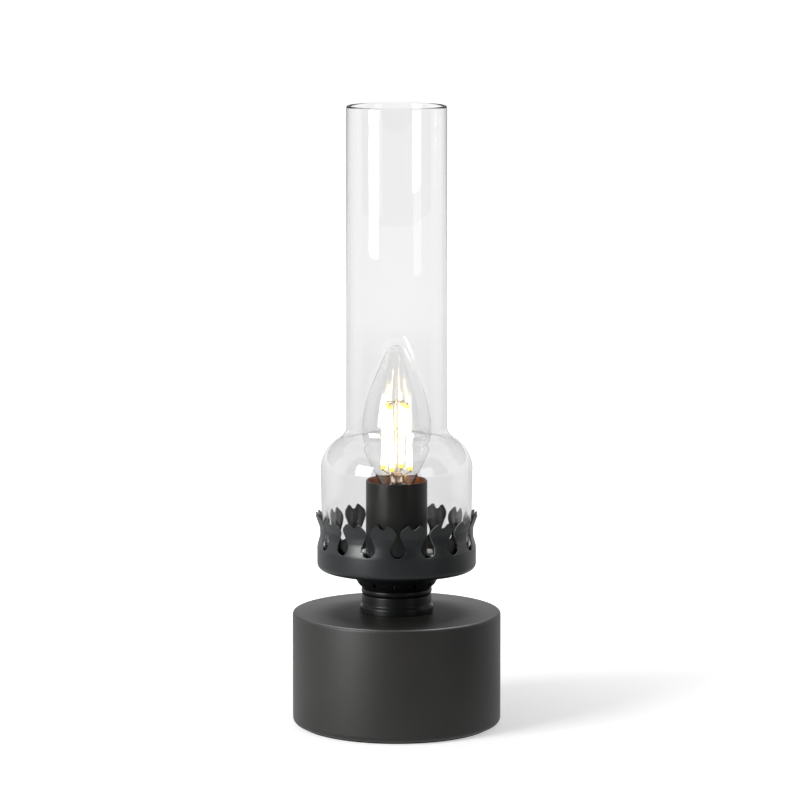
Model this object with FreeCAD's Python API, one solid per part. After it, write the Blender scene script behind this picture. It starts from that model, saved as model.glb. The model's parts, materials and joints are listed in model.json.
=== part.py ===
import FreeCAD, Part
import math
import os

# Electric table lamp in the form of an oil lamp, in millimetres.
# +Z is up, -Y is the front, and the origin is the middle of the foot pad's underside.
# A threaded tube clamps the whole stand together, from the nut under the base's top
# to the socket cap on the gallery. The glass chimney stands loose in the gallery.

# Fits
fit_gap = 0.05  # radial, where a round piece fits a round hole
rest_gap = 0.15  # between pieces that come apart in use
overcut = 1.0  # how far a cutter reaches past the face that it cuts
same_place = 1e-6  # points nearer than this are one

# Base
pad_od = 97.5
pad_thickness = 1.0
base_od = 105.5
base_height = 57.3  # from the pad's top to the flat top
base_wall = 1.2
base_top_round = 1.5
base_foot_round = 3.0
lip_width = 8.5
weight_height = 13.8  # above the rolled lip
weight_bore = 32.0
weight_side_gap = 0.4
weight_slot_width = 16.0  # lets the cord in at the back
weight_foot_round = 2.4

# Cord inlet at the back
cord_height = 12.0
cord_bore = 6.5
bush_wall = 1.7
bush_flange_od = 13.0
bush_flange_thickness = 1.1
bush_collar_od = 11.4
bush_collar_length = 2.6

# Threaded tube and the nut that draws it down
tube_od = 10.0
tube_bore = 8.0
tube_below_ceiling = 9.4
tube_above_gallery = 5.2
washer_od = 30.0
washer_thickness = 1.5
nut_flats = 14.0
nut_thickness = 3.0

# Neck: collar, bead and perforated burner cup
neck_sheet = 0.7
collar_od = 35.3
collar_height = 9.3
collar_foot_width = 0.9
collar_foot_height = 3.0
collar_foot_slope = 1.4  # height of the sloping step above the foot
collar_foot_round = 0.9
collar_top_round = 0.8
bead_od = 35.7
bead_height = 3.3
bead_round = 1.3
cup_height = 9.1
cup_foot_od = 35.3
cup_step_height = 2.0
cup_step_od = 39.3
cup_rim_od = 44.6
cup_rim_height = 1.8
cup_round = 2.0
vent_count = 12
vent_diameter = 2.0
vent_height = 3.0
vent_first_angle = -4.0  # from the front towards +X

# Glass chimney
glass_wall = 2.0
chimney_height = 233.7
chimney_foot_od = 75.2
chimney_bulge_od = 76.9  # where the bulge is widest, under the shoulder
chimney_throat_od = 51.0  # where the tube leaves the shoulder
chimney_tube_od = 50.6
tube_straight_height = 119.6  # foot to where the tube stops narrowing, above the lamp
shoulder_height = 60.3  # foot to the corner between the bulge and the shoulder
shoulder_slope = 31.2  # degrees below level
bulge_round = 16.5
throat_round = 6.6
glass_edge_round = 0.95

# Gallery: a cup whose wall is pierced and cut into a crown of prongs
gallery_sheet = 0.7
chimney_gap = 0.2  # between the glass and the waist of the crown
crown_belly = 1.4  # how far the wall stands out from the waist, below it
crown_flare = 2.7  # and above it, at the tips
belly_top = 12.0  # heights in the crown, from the underside of the floor
waist_bottom = 17.0
waist_top = 21.5
tip_height = 28.3
crown_curve = 8.0
flare_curve = 6.0
prong_count = 16
prong_first_angle = -10.1  # from the front towards +X
keyhole_diameter = 7.8
keyhole_height = 15.6
keyhole_straight = 0.8
lobe_height = 24.6
lobe_gap = 0.3  # between the corners that the sides of neighbouring prongs are rounded from
lobe_round = 3.6
keyhole_shoulder_round = 3.5
horn_offset = 3.5  # from the middle of a prong to the outer corner of each of its two horns
horn_round = 1.0
trim_overlap = 1.5  # where the cutters of a keyhole and of a notch meet over a horn
notch_depth = 3.1
notch_half_width = 2.5
notch_round = 1.7
notch_edge_round = 1.2

# Socket: cap, sleeve, lampholder and contacts
cap_od = 29.2
cap_height = 10.2
cap_floor = 4.0
cap_wall = 3.2
sleeve_sheet = 0.85
sleeve_height = 44.6
sleeve_edge_round = 0.3
screw_height = 7.2  # of the two sleeve screws, above the gallery's floor
screw_thread = 4.0
screw_head_od = 6.2
screw_head_height = 2.8
screw_head_round = 1.7
screw_end_gap = 0.3
slot_width = 0.8
slot_depth = 1.2
holder_flange_od = 29.2
holder_flange_height = 3.0
holder_od = 26.4
holder_height = 29.0
holder_floor = 3.0
holder_top_round = 0.8
mouth_depth = 8.0
mouth_gap = 0.7  # round the skirt of the lamp's cap
shell_sheet = 0.5
shell_height = 17.0
shell_tab_width = 2.4
contact_sheet = 0.5
contact_width = 2.4
contact_rise = 1.35
contact_reach = 1.4  # of the tongue past the middle, and of its foot past the live pin
terminal_pitch = 5.6
terminal_od = 2.9
terminal_length = 6.6
terminal_wall = 0.3
terminal_socket = 4.0

# Wiring in the base
lead_od = 2.2
lead_bend = 10.0
block_length = 16.0
block_width = 16.0
block_height = 10.0
block_inset = 11.2  # from the weight's edge to the block's far side
block_pitch = 8.0
block_bore = 3.0
block_bore_height = 4.0
block_round = 1.0
block_screw_inset = 3.5
block_screw_od = 2.5
block_screw_length = 5.0
fixing_thread = 3.0
fixing_head_od = 5.4
fixing_head_height = 1.8
fixing_head_round = 1.1
fixing_length = 16.0
lead_entry = 6.0  # how far each lead reaches into the block

# Candle lamp with an E14 cap
lamp_length = 98.0
lamp_od = 35.0
lamp_cap_height = 25.6
lamp_thread_od = 13.9
lamp_skirt_od = 17.0
lamp_skirt_bottom = 20.1
lamp_thread_top = 17.6
lamp_thread_bottom = 4.1
lamp_lip_width = 1.75
lamp_cap_sheet = 0.3
lamp_cap_round = 0.8
button_od = 4.4
button_height = 1.0
button_round = 0.9
insulator_wall = 2.0
driver_width = 8.0
driver_height = 12.0
driver_board = 1.2
bulb_wall = 0.8
bulb_seat_height = 4.0  # how deep the bulb's neck stands in the cap
bulb_belly_bottom = 46.0  # heights from the button up
bulb_belly_top = 66.3
bulb_taper = 23.2  # degrees between the upper cone and the axis
bulb_lower_round = 35.0
bulb_upper_round = 50.0
bulb_neck_round = 3.0
bulb_neck_rise = 1.0  # from the cap's rim to where the neck widens
bulb_tip_round = 5.0
stem_od = 6.0
stem_wall = 0.8
stem_foot_height = 1.0
stem_cone_height = 7.0
stem_round = 2.0
stem_top_height = 32.8
stem_shoulder_height = 1.0  # of the cone between the stem and its rod
rod_od = 1.8
rod_top_height = 71.0
rod_round = 0.5
filament_count = 4
filament_first_angle = 72.0  # of the feet, from the front towards +X
filament_twist = -15.0  # from a foot to its head
filament_od = 2.4
filament_bottom_height = 34.8
filament_top_height = 68.4
filament_bottom_radius = 7.2
filament_top_radius = 6.2
wire_od = 0.7
clip_od = 1.2
clip_length = 1.0
wire_drop = 3.0  # how far below a filament's foot its wire leaves the stem

# Levels, from the table up
pad_top = pad_thickness
lip_top = pad_top + base_wall
weight_top = lip_top + weight_height
base_top = pad_top + base_height
ceiling = base_top - base_wall
collar_top = base_top + collar_height
bead_top = collar_top + bead_height
gallery_bottom = bead_top + cup_height
gallery_floor_top = gallery_bottom + gallery_sheet
tip_top = gallery_bottom + tip_height
tube_bottom = ceiling - tube_below_ceiling
tube_top = gallery_floor_top + tube_above_gallery
cap_top = gallery_floor_top + cap_height
holder_bottom = cap_top
socket_floor = holder_bottom + holder_floor
holder_top = holder_bottom + holder_height
contact_top = socket_floor + contact_sheet + contact_rise
lamp_bottom = contact_top + rest_gap
screw_level = gallery_floor_top + screw_height

# Radii
tube_hole = tube_od / 2 + fit_gap
base_r = base_od / 2
base_inner = base_r - base_wall
lip_inner = base_r - lip_width
weight_r = base_inner - weight_side_gap
block_front = weight_r - block_inset
foot_r = chimney_foot_od / 2
bulge_r = chimney_bulge_od / 2
glass_at_waist = foot_r + (bulge_r - foot_r) * (waist_top - gallery_sheet) / shoulder_height
waist_r = glass_at_waist + chimney_gap + gallery_sheet
belly_r = waist_r + crown_belly
gallery_corner = belly_r - (foot_r - glass_edge_round) - rest_gap  # flat under the glass
sleeve_inner = cap_od / 2 + fit_gap
sleeve_r = sleeve_inner + sleeve_sheet
shell_inner = lamp_thread_od / 2 + rest_gap + fit_gap
shell_r = shell_inner + shell_sheet
mouth_r = lamp_skirt_od / 2 + mouth_gap
terminal_x = terminal_pitch / 2

VERTICAL = FreeCAD.Vector(0, 0, 1)
ORIGIN = FreeCAD.Vector(0, 0, 0)


def corner_arc(before, corner, after, radius):
    """Start, middle and end of the tangent arc that rounds a corner."""
    back = (before - corner).normalize()
    ahead = (after - corner).normalize()
    half = back.getAngle(ahead) / 2
    setback = radius / math.tan(half)
    centre = corner + (back + ahead).normalize() * (radius / math.sin(half))
    middle = centre + (corner - centre).normalize() * radius
    return corner + back * setback, middle, corner + ahead * setback


def add_line(edges, start, end):
    """A straight edge, unless two arcs already meet there."""
    if (end - start).Length > same_place:
        edges.append(Part.LineSegment(start, end).toShape())


def rounded_path(points, radii, closed):
    """A wire through the points, with a tangent arc at each point whose radius isn't 0."""
    edges = []
    count = len(points)
    first = None
    last = None
    for i in range(count):
        start = points[i]
        end = points[i]
        arc = None
        if radii[i] > 0 and (closed or 0 < i < count - 1):
            start, middle, end = corner_arc(points[i - 1], points[i], points[(i + 1) % count], radii[i])
            arc = Part.Arc(start, middle, end).toShape()
        if last is not None:
            add_line(edges, last, start)
        if arc is not None:
            edges.append(arc)
        if first is None:
            first = start
        last = end
    if closed:
        add_line(edges, last, first)
    return Part.Wire(edges)


def flat_face(corners):
    """A face in the XZ plane from (x, z, radius) corners."""
    points = [FreeCAD.Vector(x, 0, z) for x, z, radius in corners]
    radii = [radius for x, z, radius in corners]
    return Part.Face(rounded_path(points, radii, True))


def outward(solid):
    """The same solid with its faces turned outwards."""
    if solid.Volume < 0:
        solid.reverse()
    return solid


def turned(corners):
    """A solid of revolution about Z from closed (r, z, radius) corners."""
    return outward(flat_face(corners).revolve(ORIGIN, VERTICAL, 360))


def left_of(start, end):
    """Unit vector to the left of the way from one (r, z) point to another."""
    r = end[0] - start[0]
    z = end[1] - start[1]
    length = math.hypot(r, z)
    return (-z / length, r / length)


def far_side(corners, wall):
    """The outline on the far side of a wall that lies to the left of the given outline."""
    result = []
    for i, (r, z, radius) in enumerate(corners):
        before = left_of(corners[i - 1], corners[i]) if i > 0 else None
        after = left_of(corners[i], corners[i + 1]) if i + 1 < len(corners) else None
        before = before or after
        after = after or before
        scale = wall / (1 + before[0] * after[0] + before[1] * after[1])
        turns_left = before[0] * after[1] - before[1] * after[0] > 0
        if radius > 0:
            radius = max(radius - wall, 0) if turns_left else radius + wall
        result.append((r + (before[0] + after[0]) * scale, z + (before[1] + after[1]) * scale, radius))
    return result


def with_ends(corners, first_round, last_round):
    """The same outline with a radius at each end."""
    result = list(corners)
    result[0] = (corners[0][0], corners[0][1], first_round)
    result[-1] = (corners[-1][0], corners[-1][1], last_round)
    return result


def sheet(corners, wall, first_round=0.0, last_round=0.0):
    """An even wall turned about Z, to the left of an open (r, z, radius) outline."""
    near = with_ends(corners, first_round, last_round)
    far = with_ends(far_side(corners, wall), first_round, last_round)
    return turned(near + far[::-1])


def ring(outer_r, inner_r, bottom, top):
    """A plain ring about Z."""
    return turned([(inner_r, bottom, 0), (outer_r, bottom, 0), (outer_r, top, 0), (inner_r, top, 0)])


def rod(radius, start, end):
    """A round bar between two points."""
    way = end - start
    return Part.makeCylinder(radius, way.Length, start, way)


def around(angle, radius, z):
    """The point at an angle from the front towards +X, a radius and a height."""
    turn = math.radians(angle)
    return FreeCAD.Vector(radius * math.sin(turn), -radius * math.cos(turn), z)


def turned_copy(shape, angle):
    """A copy turned about Z, from the front towards +X."""
    copy = shape.copy()
    copy.rotate(ORIGIN, VERTICAL, angle)
    return copy


def slotted_screw(thread_od, length, head_od, head_height, head_round):
    """A pan-head screw along +Z with a slot along Y, whose head sits on z = 0."""
    head_r = head_od / 2
    corners = [(0, -length, 0), (thread_od / 2, -length, 0), (thread_od / 2, 0, 0), (head_r, 0, 0)]
    corners += [(head_r, head_height, head_round), (0, head_height, 0)]
    slot = Part.makeBox(slot_width, head_od, slot_depth)
    slot.translate(FreeCAD.Vector(-slot_width / 2, -head_r, head_height - slot_depth))
    return turned(corners).cut(slot)


def swept_round(diameter, points, bend):
    """A round lead along straight runs that join in tangent arcs."""
    path = rounded_path(points, [bend] * len(points), False)
    circle = Part.makeCircle(diameter / 2, points[0], points[1] - points[0])
    return outward(path.makePipeShell([Part.Wire([circle])], True, True))


# Base


def foot_pad():
    """Soft disc under the base."""
    return ring(pad_od / 2, 0, 0, pad_top)


def base_housing():
    """Drawn steel cup, open at the bottom, whose edge is rolled in to a flat lip."""
    outline = [(lip_inner, pad_top, 0), (base_r, pad_top, base_foot_round)]
    outline += [(base_r, base_top, base_top_round), (tube_hole, base_top, 0)]
    hole = rod(
        cord_bore / 2 + bush_wall + fit_gap,
        FreeCAD.Vector(0, base_inner / 2, cord_height),
        FreeCAD.Vector(0, base_od, cord_height),
    )
    return sheet(outline, base_wall).cut(hole)


def base_weight():
    """Cast ring that rests on the rolled lip and stands down through it to the pad."""
    spigot = lip_inner - weight_side_gap
    corners = [(weight_bore / 2, pad_top, 0), (spigot, pad_top, 0), (spigot, lip_top, 0)]
    corners += [(weight_r, lip_top, weight_foot_round), (weight_r, weight_top, 0)]
    corners += [(weight_bore / 2, weight_top, 0)]
    slot = Part.makeBox(weight_slot_width, base_od, weight_top)
    slot.translate(FreeCAD.Vector(-weight_slot_width / 2, 0, 0))
    middle = block_middle(weight_top)
    depth = fixing_length - block_height + fit_gap
    tapped = rod(fixing_thread / 2 + fit_gap, middle - VERTICAL * depth, middle + VERTICAL * overcut)
    return turned(corners).cut([slot, tapped])


def cord_bush():
    """Snap-in bush: a flange outside the wall, a collar inside it, and the cord's bore."""
    axis = FreeCAD.Vector(0, 1, 0)
    back = base_r + bush_flange_thickness
    front = base_inner - bush_collar_length
    middle = FreeCAD.Vector(0, front, cord_height)
    barrel = Part.makeCylinder(cord_bore / 2 + bush_wall, back - front, middle, axis)
    seat = FreeCAD.Vector(0, base_inner, cord_height)
    flange = Part.makeCylinder(bush_flange_od / 2, back - base_inner, seat, axis)
    flange = flange.cut(Part.makeCylinder(base_r, base_top))
    collar = Part.makeCylinder(bush_collar_od / 2, base_wall + bush_collar_length, middle, axis)
    collar = collar.common(Part.makeCylinder(base_inner, base_top))
    bore = rod(cord_bore / 2, middle - axis * overcut, middle + axis * base_r)
    return barrel.fuse([flange, collar]).cut(bore).removeSplitter()


# Clamping


def threaded_tube():
    """Hollow threaded tube, which carries the leads and clamps the stand together."""
    return ring(tube_od / 2, tube_bore / 2, tube_bottom, tube_top)


def clamp_washer():
    """Wide washer under the base's top."""
    return ring(washer_od / 2, tube_hole, ceiling - washer_thickness, ceiling)


def clamp_nut():
    """Thin hexagon nut that draws the tube down."""
    across_corners = nut_flats / math.cos(math.pi / 6)
    bottom = ceiling - washer_thickness - nut_thickness
    points = [around(60 * i, across_corners / 2, bottom) for i in range(6)]
    hexagon = Part.Face(Part.makePolygon(points + points[:1]))
    blank = hexagon.extrude(FreeCAD.Vector(0, 0, nut_thickness))
    bore = Part.makeCylinder(tube_hole, nut_thickness, FreeCAD.Vector(0, 0, bottom))
    return blank.cut(bore)


# Neck


def neck_collar():
    """Spun collar with a stepped foot on the base and a flat top round the tube."""
    r = collar_od / 2
    foot = r + collar_foot_width
    step_z = base_top + collar_foot_height
    outline = [(foot, base_top, 0), (foot, step_z, collar_foot_round)]
    outline += [(r, step_z + collar_foot_slope, collar_foot_round), (r, collar_top, collar_top_round)]
    outline += [(tube_hole, collar_top, 0)]
    return sheet(outline, neck_sheet)


def collar_ring():
    """Turned bead between the collar and the burner cup."""
    r = bead_od / 2
    corners = [(tube_hole, collar_top, 0), (r, collar_top, bead_round)]
    corners += [(r, bead_top, bead_round), (tube_hole, bead_top, 0)]
    return turned(corners)


def burner_cup():
    """Flared cup under the gallery, with a ring of small vents."""
    step_z = bead_top + cup_step_height
    rim_z = gallery_bottom - cup_rim_height
    outline = [(tube_hole, bead_top, 0), (cup_foot_od / 2, bead_top, neck_sheet)]
    outline += [(cup_step_od / 2, step_z, cup_round), (cup_rim_od / 2, rim_z, cup_round)]
    outline += [(cup_rim_od / 2, gallery_bottom, 0)]
    vents = []
    for i in range(vent_count):
        angle = vent_first_angle + 360 / vent_count * i
        z = bead_top + vent_height
        vents.append(rod(vent_diameter / 2, around(angle, tube_od, z), around(angle, cup_rim_od, z)))
    return sheet(outline, neck_sheet).cut(vents)


# Gallery


def crown_blank():
    """The gallery before it is pierced: floor, rounded corner, belly, waist and flared rim."""
    outline = [(tube_hole, gallery_bottom, 0), (belly_r, gallery_bottom, gallery_corner)]
    outline += [(belly_r, gallery_bottom + belly_top, crown_curve)]
    outline += [(waist_r, gallery_bottom + waist_bottom, crown_curve)]
    outline += [(waist_r, gallery_bottom + waist_top, flare_curve)]
    outline += [(waist_r + crown_flare, tip_top + gallery_sheet, 0)]
    return sheet(outline, gallery_sheet)


def radial_cutter(half_outline, angle):
    """A prism that points outwards, from the right half of an outline that is the same on both sides."""
    left = [(-x, z, radius) for x, z, radius in reversed(half_outline) if x > 0]
    face = flat_face(half_outline + left)
    face.translate(FreeCAD.Vector(0, -chimney_tube_od / 2, 0))
    cutter = face.extrude(FreeCAD.Vector(0, -chimney_foot_od / 2, 0))
    return turned_copy(cutter, angle)


def keyhole_outline():
    """Right half of the gap between two prongs: a round eye, a narrow throat and an open top."""
    half_pitch = (waist_r + crown_flare) * math.sin(math.pi / prong_count)
    r = keyhole_diameter / 2
    eye_z = gallery_bottom + keyhole_height
    above = tip_top + 2 * gallery_sheet
    outer = half_pitch - horn_offset + trim_overlap
    outline = [(r, eye_z - r, r), (r, eye_z + keyhole_straight, keyhole_shoulder_round)]
    outline += [(lobe_gap / 2, gallery_bottom + lobe_height, lobe_round)]
    outline += [(half_pitch - horn_offset, tip_top, horn_round), (outer, tip_top, 0), (outer, above, 0)]
    return outline


def notch_outline():
    """Right half of the notch between the two horns of a prong."""
    above = tip_top + 2 * gallery_sheet
    outline = [(0, tip_top - notch_depth, notch_round), (notch_half_width, tip_top, notch_edge_round)]
    outline += [(horn_offset, tip_top, 0), (horn_offset, above, 0)]
    return outline


def gallery():
    """Pressed cup cut into a crown of flared prongs, each with two horns, with keyholes between them."""
    pitch = 360 / prong_count
    cutters = []
    for i in range(prong_count):
        middle = prong_first_angle + pitch * i
        cutters.append(radial_cutter(keyhole_outline(), middle + pitch / 2))
        cutters.append(radial_cutter(notch_outline(), middle))
    return crown_blank().cut(cutters)


# Socket


def socket_cap():
    """Threaded cup that clamps the gallery down and carries the sleeve and the lampholder."""
    r = cap_od / 2
    inner = r - cap_wall
    floor_z = gallery_floor_top + cap_floor
    corners = [(tube_hole, gallery_floor_top, 0), (r, gallery_floor_top, 0), (r, cap_top, 0)]
    corners += [(inner, cap_top, 0), (inner, floor_z, 0), (tube_hole, floor_z, 0)]
    reach = FreeCAD.Vector(cap_od, 0, 0)
    middle = FreeCAD.Vector(0, 0, screw_level)
    tapped = rod(screw_thread / 2 + fit_gap, middle - reach, middle + reach)
    return turned(corners).cut(tapped)


def socket_sleeve():
    """Plain sleeve round the lampholder, pierced for its two screws."""
    outline = [(sleeve_r, gallery_floor_top, 0), (sleeve_r, gallery_floor_top + sleeve_height, 0)]
    reach = FreeCAD.Vector(cap_od, 0, 0)
    middle = FreeCAD.Vector(0, 0, screw_level)
    holes = rod(screw_thread / 2 + fit_gap, middle - reach, middle + reach)
    return sheet(outline, sleeve_sheet, 0, sleeve_edge_round).cut(holes)


def sleeve_screws():
    """The two screws through the sleeve into the socket cap, with level slots."""
    length = sleeve_r - (cap_od / 2 - cap_wall) - screw_end_gap
    screws = []
    for side in (1, -1):
        screw = slotted_screw(screw_thread, length, screw_head_od, screw_head_height, screw_head_round)
        screw.rotate(ORIGIN, FreeCAD.Vector(0, 1, 0), 90 * side)
        screw.translate(FreeCAD.Vector(sleeve_r * side, 0, screw_level))
        screws.append(screw)
    return Part.makeCompound(screws)


def lampholder_body():
    """Moulded holder: a flange on the socket cap, a stepped bore for the lamp, and two terminal holes."""
    flange_top = holder_bottom + holder_flange_height
    mouth_z = holder_top - mouth_depth
    bore = shell_r + fit_gap
    corners = [(0, holder_bottom, 0), (holder_flange_od / 2, holder_bottom, 0)]
    corners += [(holder_flange_od / 2, flange_top, 0), (holder_od / 2, flange_top, 0)]
    corners += [(holder_od / 2, holder_top, holder_top_round), (mouth_r, holder_top, holder_top_round)]
    corners += [(mouth_r, mouth_z, 0), (bore, mouth_z, 0), (bore, socket_floor, 0), (0, socket_floor, 0)]
    holes = []
    for side in (1, -1):
        foot = FreeCAD.Vector(terminal_x * side, 0, holder_bottom - overcut)
        holes.append(rod(terminal_od / 2 + fit_gap, foot, foot + VERTICAL * (holder_floor + 2 * overcut)))
    return turned(corners).cut(holes)


def shell_contact():
    """Sprung brass shell for the lamp's thread, with a tab to the neutral pin."""
    shell = ring(shell_r, shell_inner, socket_floor, socket_floor + shell_height)
    start = terminal_x - terminal_od / 2
    tab = Part.makeBox(shell_r - start - shell_sheet / 2, shell_tab_width, contact_sheet)
    tab.translate(FreeCAD.Vector(-shell_r + shell_sheet / 2, -shell_tab_width / 2, socket_floor))
    return shell.fuse(tab).removeSplitter()


def centre_contact():
    """Sprung brass tongue that rises from the live pin to the lamp's button."""
    foot_end = terminal_x + contact_reach
    low = socket_floor
    high = contact_top - contact_sheet
    corners = [(foot_end, low, 0), (foot_end, low + contact_sheet, 0)]
    corners += [(terminal_x, low + contact_sheet, 0), (contact_reach / 2, contact_top, 0)]
    corners += [(-contact_reach, contact_top, 0), (-contact_reach, high, 0)]
    corners += [(contact_reach / 2, high, 0), (terminal_x, low, 0)]
    face = flat_face(corners)
    face.translate(FreeCAD.Vector(0, -contact_width / 2, 0))
    return outward(face.extrude(FreeCAD.Vector(0, contact_width, 0)))


def lead_terminals():
    """Two brass pins through the holder's floor, each with a socket for a lead."""
    pins = []
    for side in (1, -1):
        top = FreeCAD.Vector(terminal_x * side, 0, socket_floor)
        foot = top - VERTICAL * terminal_length
        pin = rod(terminal_od / 2, foot, top)
        socket = rod(terminal_od / 2 - terminal_wall, foot, foot + VERTICAL * terminal_socket)
        pins.append(pin.cut(socket))
    return Part.makeCompound(pins)


# Wiring in the base


def terminal_block():
    """Two-pole block on the weight, with a bore and two screw wells for each pole."""
    block = Part.makeBox(block_width, block_length, block_height)
    block.translate(FreeCAD.Vector(-block_width / 2, -block_front, weight_top))
    upright = [edge for edge in block.Edges if edge.Vertexes[0].X == edge.Vertexes[1].X
               and edge.Vertexes[0].Y == edge.Vertexes[1].Y]
    block = block.makeFillet(block_round, upright)
    level = weight_top + block_bore_height
    top = weight_top + block_height
    cuts = []
    for side in (1, -1):
        x = block_pitch / 2 * side
        start = FreeCAD.Vector(x, -block_front - overcut, level)
        cuts.append(rod(block_bore / 2, start, start + FreeCAD.Vector(0, block_length + 2 * overcut, 0)))
        for y in block_screw_places():
            well = FreeCAD.Vector(x, y, level)
            cuts.append(rod(block_screw_od / 2 + fit_gap, well, FreeCAD.Vector(x, y, top + overcut)))
    middle = block_middle(weight_top - overcut)
    cuts.append(rod(fixing_thread / 2 + fit_gap, middle, middle + VERTICAL * (block_height + 2 * overcut)))
    return block.cut(cuts)


def block_middle(z):
    """The point on the block's middle at a height."""
    return FreeCAD.Vector(0, -block_front + block_length / 2, z)


def block_screw_places():
    """Where the block's screws stand along Y."""
    return (-block_front + block_screw_inset, -block_front + block_length - block_screw_inset)


def terminal_screws():
    """The block's four grub screws, which press on the wires in its bores."""
    foot_z = weight_top + block_bore_height + lead_od / 2
    screws = []
    for side in (1, -1):
        for y in block_screw_places():
            foot = FreeCAD.Vector(block_pitch / 2 * side, y, foot_z)
            screw = rod(block_screw_od / 2, foot, foot + VERTICAL * block_screw_length)
            slot = Part.makeBox(slot_width, block_screw_od, slot_depth)
            floor = block_screw_length - slot_depth
            slot.translate(foot + FreeCAD.Vector(-slot_width / 2, -block_screw_od / 2, floor))
            screws.append(screw.cut(slot))
    return Part.makeCompound(screws)


def block_fixing_screw():
    """The screw that holds the block on the weight."""
    screw = slotted_screw(fixing_thread, fixing_length, fixing_head_od, fixing_head_height, fixing_head_round)
    screw.translate(block_middle(weight_top + block_height))
    return screw


def lead(side):
    """One insulated lead, from the block, up the tube and into its pin."""
    level = weight_top + block_bore_height
    block_back = -block_front + block_length
    end_z = socket_floor - terminal_length + terminal_socket
    points = [
        FreeCAD.Vector(block_pitch / 2 * side, block_back - lead_entry, level),
        FreeCAD.Vector(terminal_x * side, 0, level),
        FreeCAD.Vector(terminal_x * side, 0, end_z),
    ]
    return swept_round(lead_od, points, lead_bend)


# Lamp


def bulb_cap():
    """Thin metal cap: a lip round the insulator, the threaded barrel and the skirt."""
    r = lamp_thread_od / 2
    bottom = lamp_bottom + lamp_thread_bottom
    outline = [(r - lamp_lip_width, bottom, 0), (r, bottom, lamp_cap_round)]
    outline += [(r, lamp_bottom + lamp_thread_top, lamp_cap_round)]
    outline += [(lamp_skirt_od / 2, lamp_bottom + lamp_skirt_bottom, lamp_cap_round)]
    outline += [(lamp_skirt_od / 2, lamp_bottom + lamp_cap_height, 0)]
    return sheet(outline, lamp_cap_sheet)


def bulb_insulator():
    """Insulating cone between the cap's lip and the button."""
    bottom = lamp_bottom + button_height
    lip_bottom = lamp_bottom + lamp_thread_bottom
    lip_upper = lip_bottom + lamp_cap_sheet
    throat = lamp_thread_od / 2 - lamp_lip_width - fit_gap
    inner = lamp_thread_od / 2 - lamp_cap_round - fit_gap
    corners = [(0, bottom, 0), (button_od / 2, bottom, 0), (throat, lip_bottom, 0), (throat, lip_upper, 0)]
    corners += [(inner, lip_upper, 0), (inner, lip_upper + insulator_wall, 0), (0, lip_upper + insulator_wall, 0)]
    return turned(corners)


def bulb_tip_contact():
    """Solder button at the foot of the lamp."""
    r = button_od / 2
    top = lamp_bottom + button_height
    return turned([(0, lamp_bottom, 0), (r, lamp_bottom, button_round), (r, top, 0), (0, top, 0)])


def bulb_driver():
    """Small circuit board that stands in the cap."""
    foot = lamp_bottom + lamp_thread_bottom + lamp_cap_sheet + insulator_wall
    board = Part.makeBox(driver_width, driver_board, driver_height)
    board.translate(FreeCAD.Vector(-driver_width / 2, -driver_board / 2, foot))
    return board


def bulb_neck_radius():
    """Outer radius of the bulb's neck, where it stands in the cap's skirt."""
    return lamp_skirt_od / 2 - lamp_cap_sheet - fit_gap


def bulb_glass():
    """Candle-shaped bulb: neck, lower cone, belly, upper cone and round tip."""
    r = lamp_od / 2
    neck = bulb_neck_radius()
    rim = lamp_bottom + lamp_cap_height
    top = lamp_bottom + lamp_length
    belly_top = lamp_bottom + bulb_belly_top
    tip_r = r - (top - belly_top) * math.tan(math.radians(bulb_taper))
    outline = [(neck, rim - bulb_seat_height, 0), (neck, rim + bulb_neck_rise, bulb_neck_round)]
    outline += [(r, lamp_bottom + bulb_belly_bottom, bulb_lower_round), (r, belly_top, bulb_upper_round)]
    outline += [(tip_r, top, bulb_tip_round), (0, top, 0)]
    return sheet(outline, bulb_wall)


def bulb_stem():
    """Glass flare sealed in the bulb's neck, drawn in to a stem that carries the centre rod."""
    foot = lamp_bottom + lamp_cap_height - bulb_seat_height
    flare_r = bulb_neck_radius() - bulb_wall - fit_gap
    r = stem_od / 2
    cone_top = foot + stem_cone_height
    top = lamp_bottom + stem_top_height
    rod_top = lamp_bottom + rod_top_height
    corners = [(flare_r - stem_wall, foot, 0), (flare_r, foot, 0), (flare_r, foot + stem_foot_height, 0)]
    corners += [(r, cone_top, stem_round), (r, top, 0), (rod_od / 2, top + stem_shoulder_height, 0)]
    corners += [(rod_od / 2, rod_top, rod_round)]
    corners += [(0, rod_top, 0), (0, top - stem_wall, 0), (r - stem_wall, top - stem_wall, 0)]
    corners += [(r - stem_wall, cone_top, 0)]
    return turned(corners)


def filament_angle(i):
    """Where the foot of one filament stands, from the front towards +X."""
    return filament_first_angle + 360 / filament_count * i


def filament_ends(i):
    """Foot and head of one filament."""
    angle = filament_angle(i)
    foot = around(angle, filament_bottom_radius, lamp_bottom + filament_bottom_height)
    head = around(angle + filament_twist, filament_top_radius, lamp_bottom + filament_top_height)
    return foot, head


def bulb_filaments():
    """Light-emitting rods, which lean in and round towards the top."""
    rods = []
    for i in range(filament_count):
        foot, head = filament_ends(i)
        rods.append(rod(filament_od / 2, foot, head))
    return Part.makeCompound(rods)


def filament_wire(anchor, end, along):
    """A wire from the stem or rod to a filament's end, with the clip that grips it."""
    tip = end + along * clip_length
    wire = rod(wire_od / 2, anchor, end + along * (clip_length / 2))
    return wire.fuse(rod(clip_od / 2, end, tip)).removeSplitter()


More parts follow.
